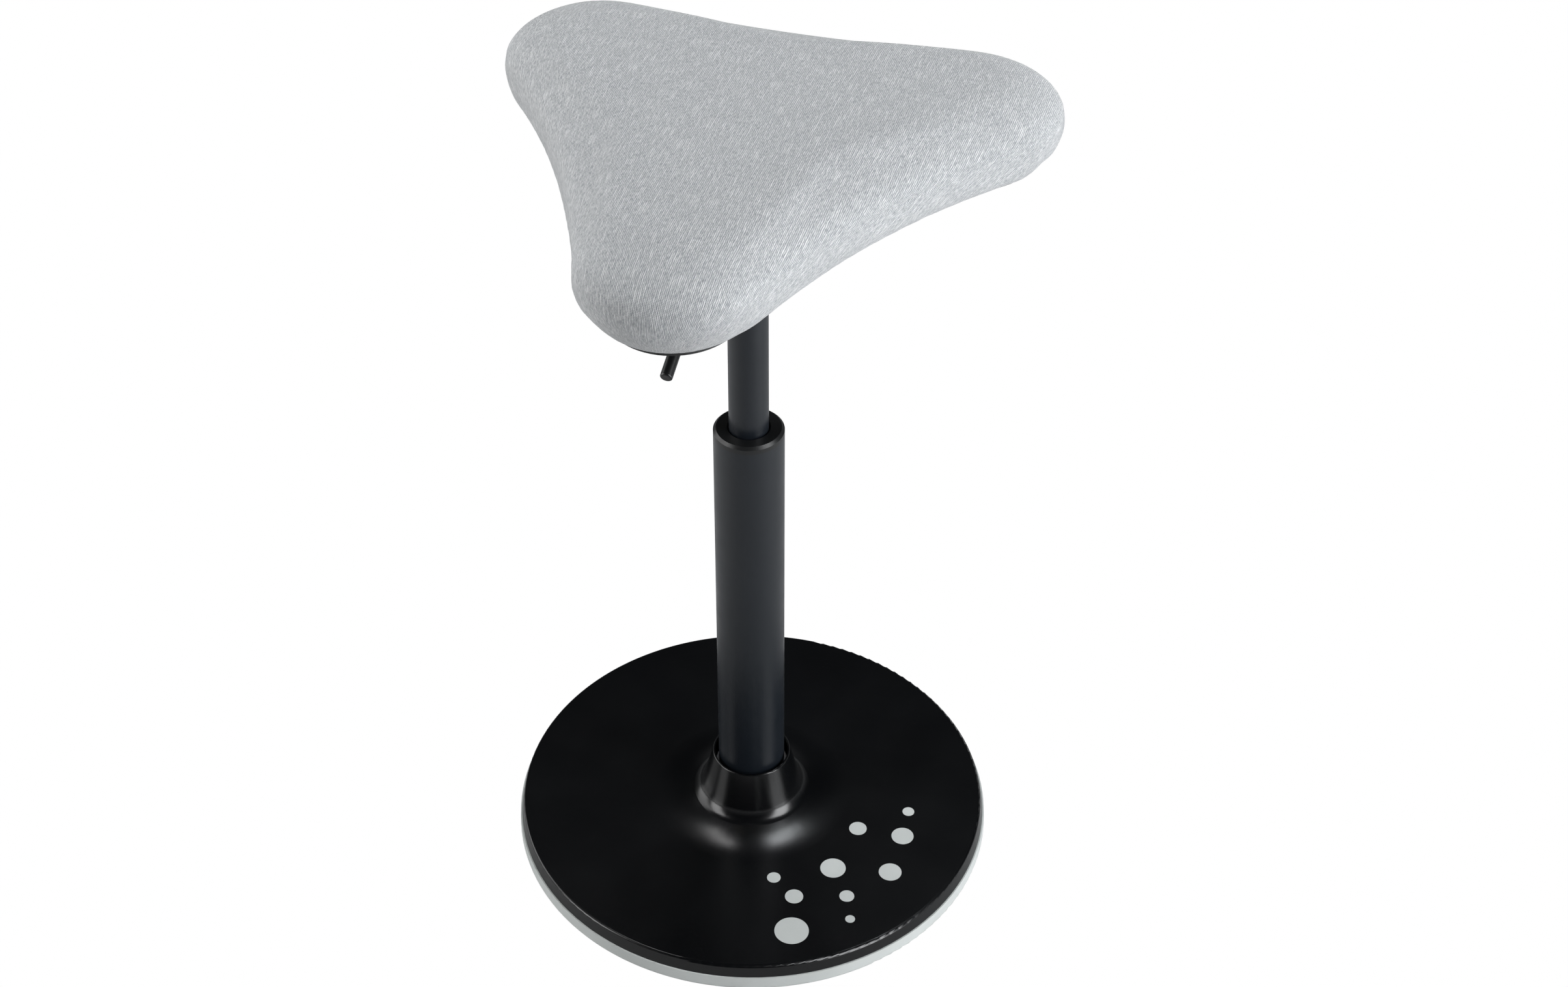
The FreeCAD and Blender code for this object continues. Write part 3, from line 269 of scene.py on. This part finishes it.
def foam(name):
    """Cut and moulded foam with open pores, painted darker towards their middles as shade."""
    look = Look(name)
    pores = look.nodes.new("ShaderNodeTexVoronoi")
    pores.inputs["Scale"].default_value = 900.0
    look.links.new(look.place, pores.inputs["Vector"])
    depth = look.spread(pores.outputs["Distance"], 0.0, 0.6)
    # Painted shade: the colour darkens towards each pore's middle, where the pit is deepest.
    look.feed("Base Color", look.mix(depth, (0.45, 0.40, 0.28), (0.78, 0.73, 0.58)))
    look.set(Roughness=0.95)
    look.feed("Normal", look.bump(depth, 0.0003, 0.7))
    return look.material


def plywood(name):
    """Birch ply with long figure along X and fine fibres."""
    look = Look(name)
    figure = look.noise(30.0, 6.0, look.scaled((0.25, 3.0, 1.0)), 0.6)
    fibre = look.noise(600.0, 3.0, look.scaled((0.05, 1.0, 1.0)))
    wood = look.mix(look.spread(figure, 0.35, 0.65), (0.55, 0.37, 0.20), (0.70, 0.53, 0.33))
    grain = look.spread(fibre, 0.45, 0.75, 0.0, 0.5)
    look.feed("Base Color", look.mix(grain, wood, (0.42, 0.27, 0.14)))
    look.set(Roughness=0.62)
    look.feed("Normal", look.bump(fibre, 0.0001, 0.5))
    return look.material


def seat_fabric(name):
    """Knitted cover: fine ribs along the second axis of the weave, stitch rows, slubs, mottling,
    and painted shade, darker in the valleys between ribs and darkest in the gaps between stitches.
    """
    look = Look(name)
    weave = look.nodes.new("ShaderNodeAttribute")
    weave.attribute_name = "weave"
    cloth = weave.outputs["Vector"]
    split = look.nodes.new("ShaderNodeSeparateXYZ")
    look.links.new(cloth, split.inputs[0])
    across, along = split.outputs[0], split.outputs[1]
    wander = look.noise(DRIFT_PATTERN, 2.0, cloth)
    drift = look.spread(wander, 0.0, 1.0, -RIB_DRIFT, RIB_DRIFT)
    drifted = look.combine("ADD", across, drift)
    rib_phase = look.combine("MULTIPLY", drifted, 2 * math.pi / RIB_PITCH)
    rib = look.spread(look.combine("SINE", rib_phase), -1.0, 1.0)
    half_phase = look.combine("MULTIPLY", rib_phase, 0.5)
    stagger = look.combine("MULTIPLY", look.combine("SINE", half_phase), 1.2)
    row_phase = look.combine("MULTIPLY", along, 2 * math.pi / STITCH_PITCH)
    row = look.spread(look.combine("SINE", look.combine("ADD", row_phase, stagger)), -1.0, 1.0)
    # Masks for the painted shade in the rib valleys and in the gaps between stitches.
    rib_valley_shade = look.combine("SUBTRACT", 1.0, rib)
    between_rows = look.combine("SUBTRACT", 1.0, row)
    knit_hole_shade = look.combine("MULTIPLY", rib_valley_shade, between_rows)

    slub = look.noise(1.0, 3.0, look.scaled(SLUB_PATTERN, cloth), 0.6)
    slub = look.spread(slub, 0.5, 0.66)
    strand = look.noise(1.0, 2.0, look.scaled(STRAND_PATTERN, cloth), 0.6)
    mottle = look.spread(look.noise(MOTTLE_PATTERN, 4.0, cloth), 0.3, 0.7)

    colour = look.mix(look.spread(strand, 0.34, 0.66), DARK_STRAND, PALE_STRAND)
    for pattern, share, tint in (
        (slub, 0.6, SLUB_COLOUR),
        (mottle, 0.16, MOTTLE_COLOUR),
        # Painted shade: rib valleys and stitch gaps coloured darker, as if shadowed.
        (rib_valley_shade, 0.5, VALLEY_SHADE_COLOUR),
        (knit_hole_shade, 0.6, HOLE_SHADE_COLOUR),
    ):
        colour = look.mix(look.combine("MULTIPLY", pattern, share), colour, tint)
    look.feed("Base Color", colour)
    look.set(Roughness=0.92, Sheen_Weight=0.35, Sheen_Roughness=0.45, Specular_IOR_Level=0.25)
    relief = look.combine("ADD", rib, look.combine("MULTIPLY", row, 0.5))
    relief = look.combine("ADD", relief, look.combine("MULTIPLY", slub, 0.5))
    look.feed("Normal", look.bump(relief, WEAVE_RELIEF, 0.55))
    return look.material


def slot_looks():
    """The look of every material slot, from its darker and lighter tones and its roughness."""
    plastics = {
        "cover_plastic": ((0.0016, 0.0018, 0.0022), (0.0024, 0.0027, 0.0032), 0.215),
        "gloss_ring": ((0.004, 0.0045, 0.005), (0.007, 0.0075, 0.008), 0.36, 0.00001),
        "bush_plastic": ((0.70, 0.69, 0.64), (0.78, 0.77, 0.72), 0.5),
        "under_plastic": ((0.010, 0.0105, 0.011), (0.016, 0.0165, 0.017), 0.5, 0.00012),
    }
    paints = {
        "column_paint": ((0.005, 0.0072, 0.0105), (0.007, 0.0095, 0.0135), 0.34),
        "mechanism_steel": ((0.004, 0.0045, 0.005), (0.006, 0.0065, 0.007), 0.33),
    }
    metals = {
        "weight_steel": ((0.10, 0.10, 0.105), (0.2, 0.2, 0.21), 0.5),
        "bright_steel": ((0.50, 0.50, 0.51), (0.66, 0.66, 0.67), 0.3),
        "chromed_rod": ((0.68, 0.68, 0.69), (0.76, 0.76, 0.77), 0.1, (1.0, 1.0, 0.1)),
        "valve_alloy": ((0.66, 0.66, 0.67), (0.78, 0.78, 0.79), 0.35),
    }
    others = {
        "pale_rubber": pale_rubber,
        "seal_rubber": soft_rubber,
        "seat_fabric": seat_fabric,
        "seat_foam": foam,
        "board_wood": plywood,
    }
    looks = {slot: make(slot + "_look") for slot, make in others.items()}
    families = ((moulded_plastic, plastics), (painted_steel, paints), (bare_metal, metals))
    for make, family in families:
        for slot, values in family.items():
            looks[slot] = make(slot + "_look", *values)
    return looks


LOOKS = slot_looks()


def dress_frame():
    """Gives every CAD node the look of its material slot."""
    for part in frame["record"]["subparts"]:
        mesh = frame["nodes"][part["node"]].data
        mesh.materials.clear()
        mesh.materials.append(LOOKS[part["material_slot"]])


def nearest_arc(x, y):
    """Inset from the seat's outline at a plan point, and the outward unit vector there."""
    step = 2 * math.pi / LOBE_COUNT
    bearing = math.atan2(y, x) + math.pi / 2
    lobe = round(bearing / step)
    facing = lobe * step - math.pi / 2
    lobe_centre = Vector((math.cos(facing), math.sin(facing))) * LOBE_CENTRE
    half = step / 2
    reach = LOBE_RADIUS + SIDE_RADIUS
    beyond = math.sqrt(reach ** 2 - (LOBE_CENTRE * math.sin(half)) ** 2)
    distance = LOBE_CENTRE * math.cos(half) + beyond
    towards = half if bearing >= lobe * step else -half
    side_centre = Vector((math.cos(facing + towards), math.sin(facing + towards))) * distance
    point = Vector((x, y))
    from_lobe = point - lobe_centre
    joint = side_centre - lobe_centre
    outward = Vector((math.cos(facing), math.sin(facing)))
    if from_lobe.dot(outward) * joint.length > joint.dot(outward) * from_lobe.length:
        return LOBE_RADIUS - from_lobe.length, from_lobe.normalized()
    to_side = side_centre - point
    return to_side.length - SIDE_RADIUS, to_side.normalized()


def outline_point(bearing, inset):
    """Plan point of the outline, drawn in by the inset, found along a bearing by bisection."""
    low, high = 0.0, OUTLINE_LIMIT
    for _ in range(OUTLINE_HALVINGS):
        middle = (low + high) / 2
        if nearest_arc(middle * math.cos(bearing), middle * math.sin(bearing))[0] > inset:
            low = middle
        else:
            high = middle
    return Vector((low * math.cos(bearing), low * math.sin(bearing)))


SEAT_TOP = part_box("seat_cover")[1].z
SEAT_FOOT = SEAT_TOP - SEAT_HEIGHT
WAIST = SEAT_FOOT + SEAT_WAIST
LOW_INSET = SEAT_UNDERCUT / (1 - math.cos(UNDERCUT_ANGLE))
LOW_RISE = SEAT_WAIST / math.sin(UNDERCUT_ANGLE)
HIGH_RISE = SEAT_HEIGHT - SEAT_WAIST


def droop(x, y):
    """How far the seat has sunk at a plan point, below its level in the middle."""
    return DROOP * (x ** 2 + y ** 2)


def side_section():
    """Inset and height of the seat's side, from its foot over the widest line to the flat top."""
    section = []
    low_reach = LOW_INSET + CLOTH_SPREAD
    high_reach = TOP_INSET + CLOTH_SPREAD
    for i in range(LOW_STEPS):
        a = UNDERCUT_ANGLE * (1 - i / LOW_STEPS)
        height = WAIST - (LOW_RISE - FOOT_ROOM) * math.sin(a)
        section.append((LOW_INSET - low_reach * math.cos(a), height))
    for i in range(HIGH_STEPS + 1):
        a = math.pi / 2 * i / HIGH_STEPS
        height = WAIST + (HIGH_RISE - TOP_ROOM) * math.sin(a)
        section.append((TOP_INSET - high_reach * math.cos(a), height))
    return section


def close_ring(shell, ring, height, upward):
    """Fills a ring of the form with rings that draw in to its middle."""
    def add(*corners):
        shell.faces.new(corners if upward else corners[::-1])

    outer = ring
    for k in range(1, CAP_RINGS):
        share = 1 - k / CAP_RINGS
        inner = []
        for vertex in ring:
            x, y = vertex.co.x * share, vertex.co.y * share
            inner.append(shell.verts.new((x, y, height - droop(x, y))))
        for i in range(SEAT_SEGMENTS):
            j = (i + 1) % SEAT_SEGMENTS
            add(outer[i], outer[j], inner[j], inner[i])
        outer = inner
    middle = shell.verts.new((0, 0, height))
    for i in range(SEAT_SEGMENTS):
        add(outer[i], outer[(i + 1) % SEAT_SEGMENTS], middle)


def seat_form():
    """Closed cushion form from which the cover is made."""
    section = side_section()
    shell = bmesh.new()
    bearings = [2 * math.pi * i / SEAT_SEGMENTS for i in range(SEAT_SEGMENTS)]
    rings = []
    for inset, height in section:
        places = [outline_point(bearing, inset) for bearing in bearings]
        rings.append([shell.verts.new((p.x, p.y, height - droop(p.x, p.y))) for p in places])
    for lower, upper in zip(rings, rings[1:]):
        for i in range(SEAT_SEGMENTS):
            j = (i + 1) % SEAT_SEGMENTS
            shell.faces.new((lower[i], lower[j], upper[j], upper[i]))
    close_ring(shell, rings[-1], section[-1][1], upward=True)
    close_ring(shell, rings[0], section[0][1], upward=False)
    mesh = bpy.data.meshes.new("seat_form")
    shell.to_mesh(mesh)
    shell.free()
    return mesh


def add_object(name, data):
    """Adds an object with this data to the scene."""
    added = bpy.data.objects.new(name, data)
    bpy.context.scene.collection.objects.link(added)
    return added


def apply_modifiers(piece):
    """Replaces the piece's mesh by what its modifiers make of it."""
    graph = bpy.context.evaluated_depsgraph_get()
    mesh = bpy.data.meshes.new_from_object(piece.evaluated_get(graph))
    piece.modifiers.clear()
    piece.data = mesh


def inflate(piece):
    """Lets the closed form swell a little as tight cloth over foam, with its underside held."""
    rest = [v.co.copy() for v in piece.data.vertices]
    held = piece.vertex_groups.new(name="held")
    for v in piece.data.vertices:
        above_foot = v.co.z + droop(v.co.x, v.co.y) - SEAT_FOOT
        grip = 1.0 if above_foot < HELD_RISE else 0.0
        held.add([v.index], grip, "REPLACE")
    cloth = piece.modifiers.new("cloth", "CLOTH")
    settings = cloth.settings
    settings.quality = 6
    settings.mass = 0.3
    settings.tension_stiffness = 20.0
    settings.compression_stiffness = 20.0
    settings.shear_stiffness = 10.0
    settings.bending_stiffness = 2.0
    settings.use_pressure = True
    settings.uniform_pressure_force = CLOTH_PRESSURE
    settings.effector_weights.gravity = 0.0
    settings.vertex_group_mass = "held"
    cloth.point_cache.frame_start = 1
    cloth.point_cache.frame_end = CLOTH_FRAMES
    scene = bpy.context.scene
    for number in range(1, CLOTH_FRAMES + 1):
        scene.frame_set(number)
    graph = bpy.context.evaluated_depsgraph_get()
    swollen = piece.evaluated_get(graph).to_mesh()
    moved = [v.co.copy() for v in swollen.vertices]
    piece.evaluated_get(graph).to_mesh_clear()
    piece.modifiers.remove(cloth)
    for v, old, new in zip(piece.data.vertices, rest, moved):
        shift = new - old
        if shift.length > SWELL_LIMIT:
            shift *= SWELL_LIMIT / shift.length
        v.co = old + shift
    scene.frame_set(1)


def smooth(mesh, rounds):
    """Evens out a mesh without shrinking it: each round draws points in, then lets them out."""
    neighbours = [[] for _ in mesh.vertices]
    for edge in mesh.edges:
        a, b = edge.vertices
        neighbours[a].append(b)
        neighbours[b].append(a)
    places = [v.co.copy() for v in mesh.vertices]
    for _ in range(rounds):
        for factor in (DRAW_IN, LET_OUT):
            means = [
                sum((places[n] for n in near), Vector()) / len(near)
                for near in neighbours
            ]
            places = [p + (m - p) * factor for p, m in zip(places, means)]
    for v, place in zip(mesh.vertices, places):
        v.co = place


def open_underside(mesh):
    """Takes away the cloth inside the hem, where the real cover ends on the board."""
    work = bmesh.new()
    work.from_mesh(mesh)
    inside = []
    for face in work.faces:
        c = face.calc_center_median()
        above_foot = c.z + droop(c.x, c.y) - SEAT_FOOT
        if above_foot < HEM_RISE and nearest_arc(c.x, c.y)[0] > HEM_INSET:
            inside.append(face)
    bmesh.ops.delete(work, geom=inside, context="FACES")
    work.to_mesh(mesh)
    work.free()


def wrap_table(count=200):
    """How far cloth laid flat would reach past the plan view, by the angle round the upper edge."""
    table = [0.0]
    for i in range(count):
        a = math.pi / 2 * (i + 0.5) / count
        step = math.hypot(TOP_INSET * math.sin(a), HIGH_RISE * math.cos(a)) * math.pi / 2 / count
        table.append(table[-1] + step)
    return table


WRAP = wrap_table()


def wrap_length(point):
    """Cloth beyond the plan view from the flat top's edge down to a point, and the plan normal."""
    inset, outward = nearest_arc(point.x, point.y)
    level = point.z + droop(point.x, point.y) - WAIST
    if level < 0:
        below = math.hypot(level, max(inset, 0.0))
        return WRAP[-1] + below - TOP_INSET + inset, outward
    if inset >= TOP_INSET:
        return 0.0, outward
    angle = math.atan2(level / HIGH_RISE, (TOP_INSET - inset) / TOP_INSET)
    position = max(angle, 0.0) / (math.pi / 2) * (len(WRAP) - 1)
    low = min(int(position), len(WRAP) - 2)
    risen = WRAP[low] + (WRAP[low + 1] - WRAP[low]) * (position - low)
    return WRAP[-1] - risen - TOP_INSET + inset, outward


def lay_weave(mesh):
    """Stores each point's place on the flat cloth, as if the cover were unrolled from its top."""
    weave = mesh.attributes.new("weave", "FLOAT_VECTOR", "POINT")
    for v in mesh.vertices:
        excess, outward = wrap_length(v.co)
        flat = (v.co.x + outward.x * excess, v.co.y + outward.y * excess, 0.0)
        weave.data[v.index].vector = flat


def make_seat_cover():
    """Knitted cover, tight over the foam, turned under the board's edge."""
    piece = add_object("knitted_cover", seat_form())
    remesh = piece.modifiers.new("remesh", "REMESH")
    remesh.mode = "VOXEL"
    remesh.voxel_size = VOXEL
    apply_modifiers(piece)
    smooth(piece.data, 4)
    inflate(piece)
    smooth(piece.data, 3)
    open_underside(piece.data)
    thickness = piece.modifiers.new("thickness", "SOLIDIFY")
    thickness.thickness = FABRIC_THICKNESS
    thickness.offset = -1.0
    rounding = piece.modifiers.new("rounding", "SUBSURF")
    rounding.levels = 1
    rounding.render_levels = 1
    apply_modifiers(piece)
    lay_weave(piece.data)
    piece.data.materials.clear()
    piece.data.materials.append(LOOKS["seat_fabric"])
    piece.data.shade_smooth()
    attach(piece, "seat")
    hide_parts("seat_cover", "seat_foam")


def make_camera():
    """Camera at the photograph's viewpoint."""
    level = Vector((-math.sin(CAMERA_TURN), math.cos(CAMERA_TURN), 0.0))
    forward = level * math.cos(CAMERA_PITCH) - Vector((0, 0, 1)) * math.sin(CAMERA_PITCH)
    right = forward.cross(Vector((0, 0, 1))).normalized()
    up = right.cross(forward)
    side = right * math.cos(CAMERA_ROLL) + up * math.sin(CAMERA_ROLL)
    top = up * math.cos(CAMERA_ROLL) - right * math.sin(CAMERA_ROLL)
    data = bpy.data.cameras.new("camera")
    data.sensor_width = SENSOR_WIDTH
    data.lens = FOCAL_PIXELS / FRAME_WIDTH * SENSOR_WIDTH
    data.shift_x = (FRAME_WIDTH / 2 - AXIS_PIXEL[0]) / FRAME_WIDTH
    data.shift_y = (AXIS_PIXEL[1] - FRAME_HEIGHT / 2) / FRAME_WIDTH
    data.clip_end = CAMERA_REACH
    camera = add_object("camera", data)
    turn = Matrix((side, top, -forward)).transposed().to_4x4()
    camera.matrix_world = Matrix.Translation(CAMERA_PLACE) @ turn
    bpy.context.scene.camera = camera


def softbox(name, place, target, width, height, power, colour=WHITE):
    """Rectangular lamp of a given power in watts, turned to its target."""
    data = bpy.data.lights.new(name, "AREA")
    data.shape = "RECTANGLE"
    data.size = width
    data.size_y = height
    data.energy = power
    data.color = colour
    lamp = add_object(name, data)
    place = Vector(place)
    lamp.rotation_mode = "QUATERNION"
    lamp.rotation_quaternion = (Vector(target) - place).to_track_quat("-Z", "Y")
    lamp.location = place


def make_lights():
    """Tall soft lights at both sides, a pair behind and above that marks the hub's foot."""
    softbox("key_right", (1.85, -0.42, 1.0), COLUMN_MIDDLE, 1.1, 1.9, 60.0, COOL_WHITE)
    softbox("key_left", (-1.60, -1.00, 1.0), COLUMN_MIDDLE, 0.8, 1.8, 24.0)
    softbox("side_left", (-1.9, 0.1, 1.0), COLUMN_MIDDLE, 1.0, 1.8, 14.0)
    softbox("top_right", (0.14, 0.77, 2.3), HUB_FOOT, 0.6, 0.6, 12.0, BLUE_WHITE)
    softbox("top_left", (-0.52, 0.58, 2.3), HUB_FOOT, 0.6, 0.6, 8.5)


def camera_choice(tree, lit, seen):
    """Mixes two shaders: one that the camera sees, one for every other ray."""
    ray = tree.nodes.new("ShaderNodeLightPath")
    choice = tree.nodes.new("ShaderNodeMixShader")
    tree.links.new(ray.outputs["Is Camera Ray"], choice.inputs[0])
    tree.links.new(lit.outputs[0], choice.inputs[1])
    tree.links.new(seen.outputs[0], choice.inputs[2])
    return choice.outputs[0]


def make_world():
    """White to the camera; to everything else a dim studio that is paler towards the horizon."""
    world = bpy.data.worlds.new("studio")
    bpy.context.scene.world = world
    world.use_nodes = True
    tree = world.node_tree
    direction = tree.nodes.new("ShaderNodeTexCoord")
    split = tree.nodes.new("ShaderNodeSeparateXYZ")
    tree.links.new(direction.outputs["Generated"], split.inputs[0])
    level = tree.nodes.new("ShaderNodeMapRange")
    level.inputs["From Max"].default_value = OVERHEAD_START
    level.inputs["To Min"].default_value = HORIZON_LEVEL
    level.inputs["To Max"].default_value = OVERHEAD_LEVEL
    tree.links.new(split.outputs[2], level.inputs["Value"])
    dim = tree.nodes["Background"]
    tree.links.new(level.outputs["Result"], dim.inputs["Strength"])
    dim.inputs["Color"].default_value = (*SKY_TINT, 1.0)
    white = tree.nodes.new("ShaderNodeBackground")
    white.inputs["Color"].default_value = (*WHITE, 1.0)
    surface = tree.nodes["World Output"].inputs["Surface"]
    tree.links.new(camera_choice(tree, dim, white), surface)


def make_floor():
    """Pale floor that reads white to the camera and bounces the studio's light."""
    mesh = bpy.data.meshes.new("floor")
    quarters = ((-1, -1), (1, -1), (1, 1), (-1, 1))
    corners = [(x * FLOOR_REACH, y * FLOOR_REACH, 0) for x, y in quarters]
    mesh.from_pydata(corners, [], [(0, 1, 2, 3)])
    floor = add_object("floor", mesh)
    look = Look("floor_look")
    look.set(Roughness=0.9)
    cloud = look.noise(3.0, 2.0)
    look.feed("Base Color", look.mix(cloud, (0.46, 0.46, 0.46), (0.48, 0.48, 0.48)))
    glow = look.nodes.new("ShaderNodeEmission")
    surface = look.nodes["Material Output"].inputs["Surface"]
    look.links.new(camera_choice(look.material.node_tree, look.shader, glow), surface)
    mesh.materials.append(look.material)


dress_frame()
make_seat_cover()
make_camera()
make_lights()
make_world()
make_floor()

bpy.context.scene.view_settings.view_transform = "Standard"
